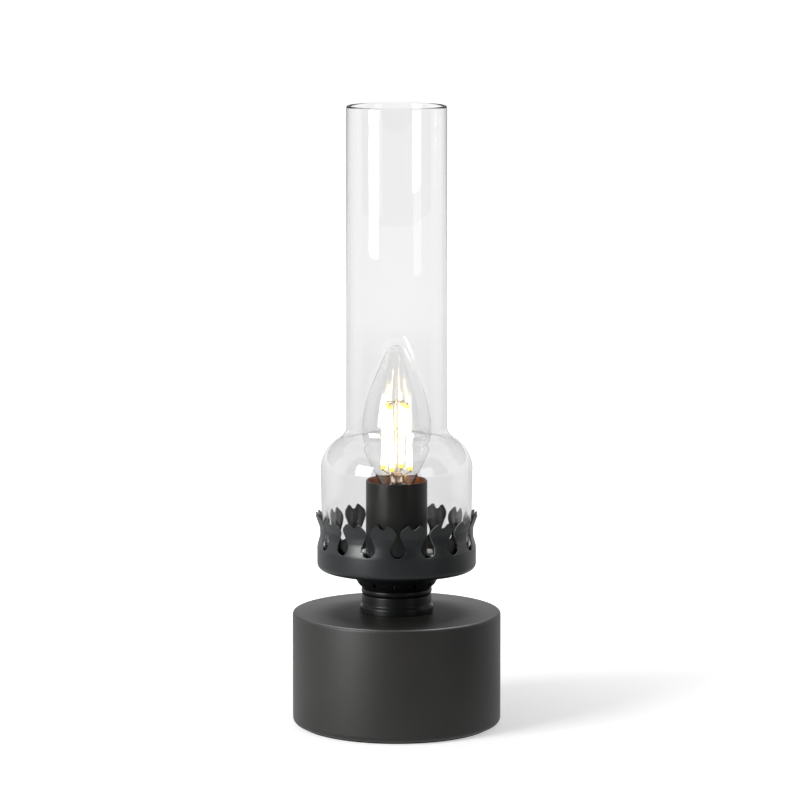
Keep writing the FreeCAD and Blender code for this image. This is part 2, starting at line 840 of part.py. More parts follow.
def filament_supports():
    """Wires and clips at both ends of each filament. The lower ones come out of the stem's glass."""
    wires = []
    stem = bulb_stem()
    for i in range(filament_count):
        foot, head = filament_ends(i)
        along = (head - foot).normalize()
        low = around(filament_angle(i), (stem_od - stem_wall) / 2, foot.z - wire_drop)
        high = VERTICAL * (head.z + clip_length)
        wires.append(filament_wire(low, foot, along * -1).cut(stem))
        wires.append(filament_wire(high, head, along).cut(stem))
    return Part.makeCompound(wires)


# Chimney


def glass_chimney():
    """Blown chimney: tapered bulge, round shoulder, throat and long tube, with polished edges."""
    tube_r = chimney_tube_od / 2
    throat_r = chimney_throat_od / 2
    shoulder_z = gallery_floor_top + shoulder_height
    throat_z = shoulder_z + (bulge_r - throat_r) * math.tan(math.radians(shoulder_slope))
    outline = [(foot_r, gallery_floor_top, 0), (bulge_r, shoulder_z, bulge_round)]
    outline += [(throat_r, throat_z, throat_round), (tube_r, gallery_floor_top + tube_straight_height, 0)]
    outline += [(tube_r, gallery_floor_top + chimney_height, 0)]
    return sheet(outline, glass_wall, glass_edge_round, glass_edge_round)


def write(name, shape):
    """One STEP file for each named piece."""
    if not shape.isValid():
        raise ValueError(name + " is not a valid shape")
    shape.exportStep(os.path.join("parts", name + ".step"))
    print(name, len(shape.Solids), round(shape.Volume, 2))


PIECES = (
    foot_pad,
    base_housing,
    base_weight,
    cord_bush,
    threaded_tube,
    clamp_washer,
    clamp_nut,
    neck_collar,
    collar_ring,
    burner_cup,
    gallery,
    socket_cap,
    socket_sleeve,
    sleeve_screws,
    lampholder_body,
    shell_contact,
    centre_contact,
    lead_terminals,
    terminal_block,
    terminal_screws,
    block_fixing_screw,
    bulb_cap,
    bulb_insulator,
    bulb_tip_contact,
    bulb_driver,
    bulb_glass,
    bulb_stem,
    bulb_filaments,
    filament_supports,
    glass_chimney,
)

os.makedirs("parts", exist_ok=True)
for piece in PIECES:
    write(piece.__name__, piece())
write("live_lead", lead(1))
write("neutral_lead", lead(-1))
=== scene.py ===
import json
import math

import bmesh
import bpy
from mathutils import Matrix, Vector


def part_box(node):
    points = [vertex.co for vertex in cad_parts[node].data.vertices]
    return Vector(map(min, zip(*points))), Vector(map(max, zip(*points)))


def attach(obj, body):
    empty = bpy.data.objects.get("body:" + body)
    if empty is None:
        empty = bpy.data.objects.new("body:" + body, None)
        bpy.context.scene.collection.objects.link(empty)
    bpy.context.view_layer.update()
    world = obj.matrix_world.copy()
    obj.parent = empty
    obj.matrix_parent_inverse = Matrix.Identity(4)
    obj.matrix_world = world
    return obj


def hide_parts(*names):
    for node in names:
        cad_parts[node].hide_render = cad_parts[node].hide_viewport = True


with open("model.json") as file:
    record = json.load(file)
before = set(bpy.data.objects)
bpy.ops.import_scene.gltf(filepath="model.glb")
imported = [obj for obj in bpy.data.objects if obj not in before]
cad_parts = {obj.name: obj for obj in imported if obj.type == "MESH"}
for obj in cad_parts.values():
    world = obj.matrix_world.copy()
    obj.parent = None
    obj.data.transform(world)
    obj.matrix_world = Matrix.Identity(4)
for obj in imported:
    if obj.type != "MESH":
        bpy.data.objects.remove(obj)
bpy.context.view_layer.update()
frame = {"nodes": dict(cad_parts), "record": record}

bl_info = {
    "name": "Oil Lamp Style Table Lamp",
    "version": (1, 0, 0),
    "blender": (4, 5, 0),
    "location": "View3D > Sidebar > Table Lamp",
    "description": "Builds the turned, pressed and blown pieces of an electric table lamp",
    "category": "Object",
}

MM = 0.001
TURN = 2 * math.pi
WHITE = (1, 1, 1, 1)
# Corners nearer to each other than this, in metres, are one.
SAME_PLACE = 1e-6
# Width in millimetres of the wide, faint clouds in every opaque finish.
CLOUD_MM = 30
# Height in metres of the lamp's middle, at which the softboxes point.
LAMP_MIDDLE = 0.16


# Sizes and finishes that a user would change


def length(name, description, millimetres):
    """A length property whose default is given in millimetres."""
    return bpy.props.FloatProperty(
        name=name, description=description, default=millimetres * MM, min=0, unit="LENGTH"
    )


def linear(hex_colour):
    """An sRGB hex colour as linear red, green, blue and alpha."""
    values = [int(hex_colour[i : i + 2], 16) / 255 for i in (1, 3, 5)]
    lit = [v / 12.92 if v <= 0.04045 else ((v + 0.055) / 1.055) ** 2.4 for v in values]
    return (*lit, 1.0)


def colour(name, description, hex_colour):
    """A colour property whose default is given as sRGB hex."""
    return bpy.props.FloatVectorProperty(
        name=name,
        description=description,
        default=linear(hex_colour),
        size=4,
        min=0,
        max=1,
        subtype="COLOR",
    )


class StandSizes(bpy.types.PropertyGroup):
    base_diameter: length("Base diameter", "Across the drawn steel base", 105.5)
    base_wall: length("Base wall", "Sheet thickness of the base", 1.2)
    base_top_round: length("Top edge", "Radius of the base's upper edge", 1.5)
    base_foot_round: length("Foot edge", "Radius of the rolled foot", 3)
    lip_width: length("Lip", "How far the foot is rolled in", 8.5)
    pad_diameter: length("Foot pad", "Across the foam pad", 97.5)
    collar_diameter: length("Collar", "Across the neck collar", 35.3)
    bead_diameter: length("Bead", "Across the bead ring", 35.7)
    cup_rim: length("Burner cup", "Across the burner cup's rim", 44.6)
    sheet: length("Sheet", "Thickness of the neck's and gallery's sheet", 0.7)
    tube_hole: length("Tube hole", "Across the hole for the threaded tube", 10.1)


class CrownSizes(bpy.types.PropertyGroup):
    waist_radius: length("Waist", "Outer radius where the prongs are nearest the glass", 38.79)
    belly: length("Belly", "How far the wall stands out below the waist", 1.4)
    flare: length("Flare", "How far the tips stand out above it", 2.7)
    tip_height: length("Height", "From the underside to the tips", 28.3)
    eye_diameter: length("Keyhole", "Across the round eye of a keyhole", 7.8)
    lobe_gap: length("Gap", "Between two prongs, before their sides are rounded", 0.3)
    prongs: bpy.props.IntProperty(
        name="Prongs", description="How many prongs the crown has", default=16, min=6
    )
    first_angle: bpy.props.FloatProperty(
        name="First prong",
        description="Angle of the first prong from the front",
        default=math.radians(-10.1),
        subtype="ANGLE",
    )


class GlassSizes(bpy.types.PropertyGroup):
    wall: length("Wall", "Thickness of the blown chimney", 2)
    foot_diameter: length("Foot", "Across the chimney's foot", 75.2)
    bulge_diameter: length("Bulge", "Across the chimney's bulge under its shoulder", 76.9)
    throat_diameter: length("Throat", "Across the tube where it leaves the shoulder", 51)
    tube_diameter: length("Tube", "Across the chimney's tube", 50.6)
    shoulder: length("Shoulder", "Height of the bulge's corner above the foot", 60.3)
    straight: length("Straight", "Height above the foot where the tube stops narrowing", 119.6)
    slope: bpy.props.FloatProperty(
        name="Slope",
        description="Slope of the shoulder",
        default=math.radians(31.2),
        subtype="ANGLE",
    )
    bulb_diameter: length("Bulb", "Across the candle bulb", 35)
    bulb_wall: length("Bulb wall", "Thickness of the bulb's glass", 0.8)
    filament: length("Filament", "Across a light-emitting rod", 2.4)


class Finishes(bpy.types.PropertyGroup):
    base: colour("Base", "Powder coat of the base", "#21201e")
    gallery: colour("Gallery", "Powder coat of the gallery", "#171b1d")
    # The neck's near-black colour is partly painted shade from the gallery above.
    neck: colour("Neck", "Powder coat of the neck", "#0e100f")
    # The edge colour is a painted highlight on the crown's cut faces.
    edge: colour("Edge", "Cut edges of the crown, where the coat is thin", "#7d8183")
    sleeve: colour("Sleeve", "Lacquer of the socket sleeve", "#1a1714")
    # This colour is bare brass, and its orange tone is a painted warm glow from the lamp.
    brass_and_painted_glow: colour("Lining", "Bare brass inside the sleeve", "#d08a50")
    chimney: colour("Chimney", "Tint of the chimney's glass", "#8b8f8b")
    bulb: colour("Bulb", "Tint of the bulb's glass", "#8f8f8b")
    glow: colour("Glow", "Colour of the lit filaments", "#ffeac4")
    glow_strength: bpy.props.FloatProperty(
        name="Glow strength", description="Brightness of the lit filaments", default=7, min=0
    )


# Modelling steps


def start_clean():
    """Leaves nothing selected, so that the next step acts on its own piece alone."""
    if bpy.context.mode != "OBJECT":
        bpy.ops.object.mode_set(mode="OBJECT")
    bpy.ops.object.select_all(action="DESELECT")


def take(piece):
    """Makes one piece the selected and active one."""
    start_clean()
    piece.select_set(True)
    bpy.context.view_layer.objects.active = piece


def pick(piece, kind, wanted):
    """Selects the vertices, edges or faces that pass a test, in edit mode."""
    mesh = bmesh.from_edit_mesh(piece.data)
    bpy.ops.mesh.select_all(action="DESELECT")
    for item in getattr(mesh, kind):
        if wanted(item):
            item.select_set(True)
    mesh.select_flush(True)
    bmesh.update_edit_mesh(piece.data)


def left_of(start, end):
    """Unit vector to the left of the way from one (r, z) corner to another."""
    r, z = end[0] - start[0], end[1] - start[1]
    return -z / math.hypot(r, z), r / math.hypot(r, z)


def far_side(corners, wall):
    """The outline on the far side of a wall that lies to the left of the given outline."""
    result = []
    for i, (r, z, radius) in enumerate(corners):
        before = left_of(corners[i - 1], corners[i]) if i else left_of(corners[0], corners[1])
        after = left_of(corners[i], corners[i + 1]) if i + 1 < len(corners) else before
        scale = wall / (1 + before[0] * after[0] + before[1] * after[1])
        turns_left = before[0] * after[1] - before[1] * after[0] > 0
        if radius:
            radius = max(radius - wall, 0) if turns_left else radius + wall
        r, z = r + (before[0] + after[0]) * scale, z + (before[1] + after[1]) * scale
        result.append((r, z, radius))
    return result


def walled(corners, wall, first_round=0.0, last_round=0.0):
    """The closed section of an even wall to the left of an open outline, its two ends rounded."""

    def ends(line):
        return [line[0][:2] + (first_round,)] + line[1:-1] + [line[-1][:2] + (last_round,)]

    return ends(corners) + ends(far_side(corners, wall))[::-1]


def section(name, corners, segments):
    """A flat face in the XZ plane, drawn corner by corner in millimetres, its corners rounded."""
    start_clean()
    bpy.ops.mesh.primitive_plane_add(size=MM, location=(0, 0, 0))
    piece = bpy.context.object
    piece.name = name
    bpy.ops.object.mode_set(mode="EDIT")
    bpy.ops.mesh.select_all(action="SELECT")
    bpy.ops.mesh.merge(type="CENTER")
    points = [Vector((r * MM, 0, z * MM)) for r, z, _ in corners]
    bpy.ops.transform.translate(value=points[0])
    for before, after in zip(points, points[1:]):
        bpy.ops.mesh.extrude_region_move(TRANSFORM_OT_translate={"value": after - before})
    bpy.ops.mesh.select_all(action="SELECT")
    bpy.ops.mesh.edge_face_add()
    for i, corner in enumerate(corners):
        if corner[2] > 0:
            back = points[i - 1] - points[i]
            ahead = points[(i + 1) % len(points)] - points[i]
            setback = corner[2] * MM / math.tan(back.angle(ahead) / 2)
            pick(piece, "verts", lambda v, at=points[i]: (v.co - at).length < SAME_PLACE)
            bpy.ops.mesh.bevel(offset=setback, segments=segments, affect="VERTICES")
    return piece


def smooth(piece, degrees=32):
    """Smooth shading that keeps edges sharper than an angle."""
    take(piece)
    bpy.ops.object.shade_smooth_by_angle(angle=math.radians(degrees))
    return piece


def lathe(name, corners, steps=160, segments=8):
    """A turned piece: a closed section in millimetres, spun once round the lamp's axis."""
    piece = section(name, corners, segments)
    bpy.ops.mesh.select_all(action="SELECT")
    bpy.ops.mesh.delete(type="ONLY_FACE")
    bpy.ops.mesh.select_all(action="SELECT")
    bpy.ops.mesh.spin(steps=steps, angle=TURN, center=(0, 0, 0), axis=(0, 0, 1))
    bpy.ops.mesh.select_all(action="SELECT")
    bpy.ops.mesh.remove_doubles(threshold=SAME_PLACE)
    bpy.ops.mesh.delete_loose(use_verts=True, use_edges=True, use_faces=False)
    bpy.ops.mesh.select_all(action="SELECT")
    bpy.ops.mesh.normals_make_consistent(inside=False)
    return smooth(piece)


def copies(piece, angles):
    """Copies of a piece turned about the lamp's axis, each with its own mesh, joined into one."""
    made = []
    for angle in angles:
        copy = piece.copy()
        copy.data = piece.data.copy()
        bpy.context.collection.objects.link(copy)
        copy.rotation_euler.z = angle
        made.append(copy)
    bpy.data.objects.remove(piece)
    take(made[0])
    for copy in made:
        copy.select_set(True)
    bpy.ops.object.transform_apply(location=True, rotation=True, scale=True)
    bpy.ops.object.join()
    return bpy.context.object


def modify(piece, kind, **settings):
    """Adds a modifier with its settings and applies it."""
    take(piece)
    bpy.ops.object.modifier_add(type=kind)
    modifier = piece.modifiers[-1]
    for name, value in settings.items():
        setattr(modifier, name, value)
    bpy.ops.object.modifier_apply(modifier=modifier.name)


def cut(piece, tool):
    """Cuts one closed piece out of another."""
    modify(piece, "BOOLEAN", operation="DIFFERENCE", solver="EXACT", object=tool)
    bpy.data.objects.remove(tool)


def drill(radius_mm, depth_mm, middle_mm, rotation):
    """A round cutter, given its middle and its turn from upright."""
    start_clean()
    bpy.ops.mesh.primitive_cylinder_add(
        vertices=32,
        radius=radius_mm * MM,
        depth=depth_mm * MM,
        location=Vector(middle_mm) * MM,
        rotation=rotation,
    )
    bpy.ops.object.transform_apply(location=True, rotation=True, scale=True)
    return bpy.context.object


def finish_piece(piece, material, body, slot, *nodes):
    """Gives a piece its material and its body, and hides the plain nodes it stands for."""
    piece.data.materials.clear()
    piece.data.materials.append(material)
    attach(piece, body)
    if nodes:
        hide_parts(*nodes)


def second_finish(piece, material, wanted):
    """Gives the faces that pass a test a material of their own."""
    take(piece)
    bpy.ops.object.material_slot_add()
    piece.material_slots[-1].material = material
    bpy.ops.object.mode_set(mode="EDIT")
    pick(piece, "faces", wanted)
    piece.active_material_index = len(piece.material_slots) - 1
    bpy.ops.object.material_slot_assign()
    start_clean()


def outwardness(face):
    """How far a face looks away from the lamp's axis, from 1 to -1 where it looks at the axis."""
    middle = face.calc_center_median()
    return face.normal.dot(Vector((middle.x, middle.y, 0)).normalized())


def low(node):
    """Height of a node's underside, in millimetres."""
    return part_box(node)[0][2] / MM


def high(node):
    """Height of a node's top, in millimetres."""
    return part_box(node)[1][2] / MM


# Materials


def add_node(material, kind, inputs=None, **settings):
    """Adds a node with its settings, and gives each input a value or another node's output."""
    tree = material.node_tree
    made = tree.nodes.new(kind)
    for name, value in settings.items():
        setattr(made, name, value)
    for name, value in (inputs or {}).items():
        if isinstance(value, bpy.types.NodeSocket):
            tree.links.new(value, made.inputs[name])
        else:
            made.inputs[name].default_value = value
    return made


def new_material(name):
    """An empty node material."""
    material = bpy.data.materials.new(name)
    material.use_nodes = True
    material.node_tree.nodes.clear()
    return material


def grained(
    name, base, dark_hex, roughness, grain_mm, depth_mm, metallic=0.0, specular=0.5, swing=0.04
):
    """An opaque finish that varies with a grain of a real size and a wide cloud.

    Its colour follows both, its surface the grain's depth, and its roughness swings each way.
    """
    material = new_material(name)
    place = add_node(material, "ShaderNodeTexCoord").outputs["Object"]
    fine = {"Vector": place, "Scale": 1 / (grain_mm * MM), "Detail": 3.0, "Roughness": 0.6}
    grain = add_node(material, "ShaderNodeTexNoise", fine).outputs["Fac"]
    wide = {"Vector": place, "Scale": 1 / (CLOUD_MM * MM), "Detail": 2.0}
    cloud = add_node(material, "ShaderNodeTexNoise", wide).outputs["Fac"]
    total = add_node(material, "ShaderNodeMath", {0: grain, 1: cloud}, operation="ADD").outputs[0]
    spread = {"Value": total, "From Min": 0.7, "From Max": 1.3}
    mask = add_node(material, "ShaderNodeMapRange", spread).outputs["Result"]
    # The mix node has an A and a B for each data type: its colours are inputs 6 and 7, output 2.
    colours = {"Factor": mask, 6: linear(dark_hex), 7: base}
    tint = add_node(material, "ShaderNodeMix", colours, data_type="RGBA").outputs[2]
    spread = {"Value": grain, "From Min": 0.3, "From Max": 0.7}
    spread.update({"To Min": roughness - swing, "To Max": roughness + swing})
    rough = add_node(material, "ShaderNodeMapRange", spread).outputs["Result"]
    relief = {"Height": grain, "Strength": 1.0, "Distance": depth_mm * MM}
    bump = add_node(material, "ShaderNodeBump", relief).outputs["Normal"]
    inputs = {"Base Color": tint, "Roughness": rough, "Normal": bump}
    inputs.update({"Metallic": metallic, "Specular IOR Level": specular})
    shader = add_node(material, "ShaderNodeBsdfPrincipled", inputs).outputs["BSDF"]
    add_node(material, "ShaderNodeOutputMaterial", {"Surface": shader})
    return material


def clear_glass(name, tint, density, ripple_mm, depth_mm, low_tint=1.0):
    """Clear glass that greys with depth, and the faint ripple that blowing leaves in its wall.

    The low tint is what its lower part, where the wall is thicker, lets through at each surface.
    """
    material = new_material(name)
    place = add_node(material, "ShaderNodeTexCoord").outputs["Object"]
    waves = {"Vector": place, "Scale": 1 / (ripple_mm * MM), "Detail": 1.0}
    ripple = add_node(material, "ShaderNodeTexNoise", waves).outputs["Fac"]
    relief = {"Height": ripple, "Strength": 1.0, "Distance": depth_mm * MM}
    bump = add_node(material, "ShaderNodeBump", relief).outputs["Normal"]
    inputs = {"Base Color": WHITE, "Roughness": 0.0, "IOR": 1.5}
    inputs.update({"Transmission Weight": 1.0, "Normal": bump})
    if low_tint < 1:
        height = add_node(material, "ShaderNodeSeparateXYZ", {"Vector": place}).outputs["Z"]
        thins = {"Value": height, "From Min": 145 * MM, "From Max": 205 * MM, "To Min": low_tint}
        inputs["Base Color"] = add_node(material, "ShaderNodeMapRange", thins).outputs["Result"]
    shader = add_node(material, "ShaderNodeBsdfPrincipled", inputs).outputs["BSDF"]
    inside = {"Color": tint, "Density": density}
    volume = add_node(material, "ShaderNodeVolumeAbsorption", inside).outputs["Volume"]
    add_node(material, "ShaderNodeOutputMaterial", {"Surface": shader, "Volume": volume})
    return material


def glowing_phosphor(name, glow, strength, low_mm, high_mm):
    """Phosphor in silicone, lit from inside: white where it's brightest, yellow near its ends."""
    material = new_material(name)
    place = add_node(material, "ShaderNodeTexCoord").outputs["Object"]
    height = add_node(material, "ShaderNodeSeparateXYZ", {"Vector": place}).outputs["Z"]
    middle, half = (low_mm + high_mm) / 2 * MM, (high_mm - low_mm) / 2 * MM
    inputs = {0: height, 1: middle}
    above = add_node(material, "ShaderNodeMath", inputs, operation="SUBTRACT").outputs[0]
    away = add_node(material, "ShaderNodeMath", {0: above}, operation="ABSOLUTE").outputs[0]
    # White from 3.5 mm off each end inwards, and yellow in the last 1.5 mm.
    fades = {"Value": away, "From Min": half - 3.5 * MM, "From Max": half - 1.5 * MM}
    fades.update({"To Min": 1.0, "To Max": 0.0})
    lit = add_node(material, "ShaderNodeMapRange", fades).outputs["Result"]
    colours = {"Factor": lit, 6: linear("#fff478"), 7: glow}
    tint = add_node(material, "ShaderNodeMix", colours, data_type="RGBA").outputs[2]
    powers = {"Value": lit, "To Min": 1.0, "To Max": strength}
    power = add_node(material, "ShaderNodeMapRange", powers).outputs["Result"]
    inputs = {"Base Color": linear("#f0d060"), "Roughness": 0.5}
    inputs.update({"Emission Color": tint, "Emission Strength": power})
    shader = add_node(material, "ShaderNodeBsdfPrincipled", inputs).outputs["BSDF"]
    add_node(material, "ShaderNodeOutputMaterial", {"Surface": shader})
    return material


# Pieces


class LAMP_OT_base(bpy.types.Operator):
    """Turns the foot pad and the drawn base"""

    bl_idname = "table_lamp.base"
    bl_label = "Base and foot pad"

    def execute(self, context):
        sizes = context.scene.lamp_stand
        finishes = context.scene.lamp_finishes
        r = sizes.base_diameter / MM / 2
        wall = sizes.base_wall / MM
        bottom, top = low("base_housing"), high("base_housing")
        outline = [(r - sizes.lip_width / MM, bottom, 0), (r, bottom, sizes.base_foot_round / MM)]
        outline += [(r, top, sizes.base_top_round / MM), (sizes.tube_hole / MM / 2, top, 0)]
        base = lathe("base_shell", walled(outline, wall, 0.4), steps=256)
        # The cord's bush sits in a hole in the back wall.
        inlet_z = frame["record"]["mounts"][1]["pos_m"][2] / MM
        seat_r = 5.0
        cut(base, drill(seat_r, 20, (0, r, inlet_z), (math.pi / 2, 0, 0)))
        smooth(base)
        # Powder coat over drawn steel: cured powder gives a satin dark skin with a fine grain.
        # The grain is really about 0.2 mm, and is drawn at 0.9 mm so that it shows.
        coat = grained(
            "powder-coated drawn steel",
            tuple(finishes.base),
            "#191817",
            roughness=0.46,
            grain_mm=0.9,
            depth_mm=0.004,
        )
        finish_piece(base, coat, "stand", "base_powder_coat", "base_housing")
        pad_r, pad_top = sizes.pad_diameter / MM / 2, high("foot_pad")
        corners = [(0, 0, 0), (pad_r, 0, 0.3), (pad_r, pad_top, 0.3), (0, pad_top, 0)]
        pad = lathe("foot_disc", corners, steps=128, segments=4)
        # Closed-cell foam: a dull black skin with fine pores.
        foam = grained(
            "die-cut closed-cell foam",
            linear("#1c1c1c"),
            "#0e0e0e",
            roughness=0.9,
            grain_mm=0.6,
            depth_mm=0.05,
            specular=0.2,
        )
        finish_piece(pad, foam, "stand", "pad_foam", "foot_pad")
        return {"FINISHED"}


class LAMP_OT_neck(bpy.types.Operator):
    """Turns the collar, the bead and the burner cup, and drills the cup's vents"""

    bl_idname = "table_lamp.neck"
    bl_label = "Neck"

    def execute(self, context):
        sizes = context.scene.lamp_stand
        finishes = context.scene.lamp_finishes
        hole, sheet = sizes.tube_hole / MM / 2, sizes.sheet / MM
        foot, top = low("neck_collar"), high("neck_collar")
        r = sizes.collar_diameter / MM / 2
        step, step_top, slope_top = 0.9, foot + 3, foot + 4.4
        outline = [(r + step, foot, 0), (r + step, step_top, 0.9), (r, slope_top, 0.9)]
        outline += [(r, top, 0.8), (hole, top, 0)]
        collar = lathe("collar_shell", walled(outline, sheet, 0.2))
        r = sizes.bead_diameter / MM / 2
        bead_top = high("collar_ring")
        corners = [(hole, top, 0), (r, top, 1.3), (r, bead_top, 1.3), (hole, bead_top, 0)]
        bead = lathe("bead", corners)
        rim, rim_top = sizes.cup_rim / MM / 2, high("burner_cup")
        step, flare, flare_foot, rim_foot = 17.65, 19.65, bead_top + 2, rim_top - 1.8
        outline = [(hole, bead_top, 0), (step, bead_top, sheet), (flare, flare_foot, 2.0)]
        outline += [(rim, rim_foot, 2.0), (rim, rim_top, 0)]
        cup = lathe("cup_shell", walled(outline, sheet))
        # A ring of small vents, which starts a little to one side of the front.
        vents, vent_r, first = 12, 1.0, -4
        vent = drill(vent_r, 12, (0, -19, bead_top + 3), (math.pi / 2, 0, 0))
        cut(cup, copies(vent, [math.radians(first + 360 / vents * i) for i in range(vents)]))
        smooth(cup)
        # Powder coat over spun steel: nearly black, smoother and less glossy than the base's. Its
        # colour, darker than the base's and the gallery's, is partly painted shade from the gallery
        # above.
        coat = grained(
            "powder-coated spun steel",
            tuple(finishes.neck),
            "#0a0b0b",
            roughness=0.34,
            grain_mm=0.9,
            depth_mm=0.0005,
            specular=0.22,
            swing=0.01,
        )
        finish_piece(collar, coat, "stand", "neck_powder_coat", "neck_collar")
        finish_piece(bead, coat, "stand", "neck_powder_coat", "collar_ring")
        finish_piece(cup, coat, "stand", "neck_powder_coat", "burner_cup")
        return {"FINISHED"}


def mirrored(half):
    """A whole outline from its right half."""
    return half + [(-x, z, radius) for x, z, radius in reversed(half) if x > 0]


def crown_cutter(name, half, angles):
    """Prisms that point outwards from a mirrored outline, one at each angle from the front."""
    cutter = section(name, mirrored(half), 8)
    # It starts inside the crown's narrowest place and ends outside its widest.
    start, reach = 30 * MM, 20 * MM
    bpy.ops.mesh.select_all(action="SELECT")
    bpy.ops.transform.translate(value=(0, -start, 0))
    bpy.ops.mesh.extrude_region_move(TRANSFORM_OT_translate={"value": (0, -reach, 0)})
    bpy.ops.mesh.select_all(action="SELECT")
    bpy.ops.mesh.normals_make_consistent(inside=False)
    start_clean()
    return copies(cutter, angles)


class LAMP_OT_gallery(bpy.types.Operator):
    """Presses the gallery's cup and cuts its crown of heart-shaped prongs and keyholes"""

    bl_idname = "table_lamp.gallery"
    bl_label = "Gallery"

    def execute(self, context):
        stand = context.scene.lamp_stand
        sizes = context.scene.lamp_crown
        finishes = context.scene.lamp_finishes
        sheet = stand.sheet / MM
        bottom = low("gallery")
        tip = bottom + sizes.tip_height / MM
        waist = sizes.waist_radius / MM
        belly = waist + sizes.belly / MM
        rim = waist + sizes.flare / MM
        belly_top, waist_low, waist_high = bottom + 12, bottom + 17, bottom + 21.5
        outline = [(stand.tube_hole / MM / 2, bottom, 0), (belly, bottom, 3.3)]
        outline += [(belly, belly_top, 8), (waist, waist_low, 8), (waist, waist_high, 6)]
        outline += [(rim, tip + sheet, 0)]
        crown = lathe("gallery_crown", walled(outline, sheet), steps=320, segments=9)
        pitch = TURN / sizes.prongs
        half_pitch = rim * math.sin(pitch / 2)
        # A keyhole is a round eye, a neck where two prongs nearly meet, and a gap between horns.
        eye = sizes.eye_diameter / MM / 2
        eye_z, neck_z = bottom + 15.6, bottom + 24.6
        # A horn's tip is this far from the middle of its prong.
        horn = 3.5
        outer = half_pitch - horn + 1.5
        above = tip + 3 * sheet
        keyhole = [(eye, eye_z - eye, eye * 0.999), (eye, eye_z + 0.8, 3.5)]
        keyhole += [(sizes.lobe_gap / MM / 2, neck_z, 3.6), (half_pitch - horn, tip, 1)]
        keyhole += [(outer, tip, 0), (outer, above, 0)]
        notch_foot, notch_half = tip - 3.1, 2.5
        notch = [(0, notch_foot, 1.7), (notch_half, tip, 1.2), (horn, tip, 0), (horn, above, 0)]
        middles = [sizes.first_angle + pitch * i for i in range(sizes.prongs)]
        cut(crown, crown_cutter("keyhole_cutter", keyhole, [at + pitch / 2 for at in middles]))
        cut(crown, crown_cutter("notch_cutter", notch, middles))
        smooth(crown, 30)
        # Powder coat over pressed sheet: a smoother, cooler satin skin than the base's.
        coat = grained(
            "powder-coated pressed sheet",
            tuple(finishes.gallery),
            "#111517",
            roughness=0.36,
            grain_mm=0.8,
            depth_mm=0.003,
        )
        finish_piece(crown, coat, "stand", "gallery_powder_coat", "gallery")
        # A painted highlight: a paler colour on the cut faces round each prong and keyhole, where
        # their thin edges catch the light.
        thin = grained(
            "powder coat thinned on cut edges",
            tuple(finishes.edge),
            "#565a5c",
            roughness=0.4,
            grain_mm=0.8,
            depth_mm=0.002,
        )
        lowest = (bottom + 9) * MM

        def is_cut(face):
            return abs(outwardness(face)) < 0.6 and face.calc_center_median().z > lowest

        second_finish(crown, thin, is_cut)
        return {"FINISHED"}


class LAMP_OT_socket(bpy.types.Operator):
    """Turns the socket sleeve and the lampholder, and drills the sleeve's holes for its two screws
    """

    bl_idname = "table_lamp.socket"
    bl_label = "Socket"

    def execute(self, context):
        finishes = context.scene.lamp_finishes
        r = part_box("socket_sleeve")[1][0] / MM
        wall = 0.85
        outline = [(r, low("socket_sleeve"), 0), (r, high("socket_sleeve"), 0)]
        sleeve = lathe("sleeve_tube", walled(outline, wall, 0.1, 0.3), segments=4)
        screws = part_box("sleeve_screws")
        level = (screws[0][2] + screws[1][2]) / 2 / MM
        screw_hole_r = 2.05
        cut(sleeve, drill(screw_hole_r, 50, (0, 0, level), (0, math.pi / 2, 0)))
        smooth(sleeve)
        # Lacquered brass tube: a smooth brown-black satin skin, slightly cloudy.
        lacquer = grained(
            "lacquered brass tube",
            tuple(finishes.sleeve),
            "#13110f",
            roughness=0.38,
            grain_mm=12,
            depth_mm=0.0002,
            specular=0.22,
            swing=0.01,
        )
        finish_piece(sleeve, lacquer, "stand", "sleeve_lacquer", "socket_sleeve")
        # Bare drawn brass inside the tube. Its orange tone is a painted warm glow from the lit
        # lamp.
        brass_and_painted_glow = grained(
            "heat-darkened drawn brass",
            tuple(finishes.brass_and_painted_glow),
            "#9a6030",
            roughness=0.4,
            grain_mm=1.5,
            depth_mm=0.002,
            metallic=0.8,
        )
        second_finish(sleeve, brass_and_painted_glow, lambda face: outwardness(face) < -0.9)
        bottom, top = low("lampholder_body"), high("lampholder_body")
        flange_r, body_r, mouth_r, bore_r = 14.6, 13.2, 9.2, 7.7
        flange_top, mouth_foot = bottom + 3, top - 8
        corners = [(0, bottom, 0), (flange_r, bottom, 0), (flange_r, flange_top, 0.5)]
        corners += [(body_r, flange_top, 0.4), (body_r, top, 0.8), (mouth_r, top, 0.8)]
        corners += [(mouth_r, mouth_foot, 0.2), (bore_r, mouth_foot, 0.2)]
        corners += [(bore_r, flange_top, 0.2), (0, flange_top, 0)]
        holder = lathe("holder_moulding", corners, steps=96, segments=4)
        # Compression-moulded phenolic: dark brown, smooth, with a low gloss.
        phenolic = grained(
            "compression-moulded phenolic",
            linear("#3a2a20"),
            "#2a1d16",
            roughness=0.45,
            grain_mm=1.5,
            depth_mm=0.004,
        )
        finish_piece(holder, phenolic, "stand", "holder_phenolic", "lampholder_body")
        return {"FINISHED"}


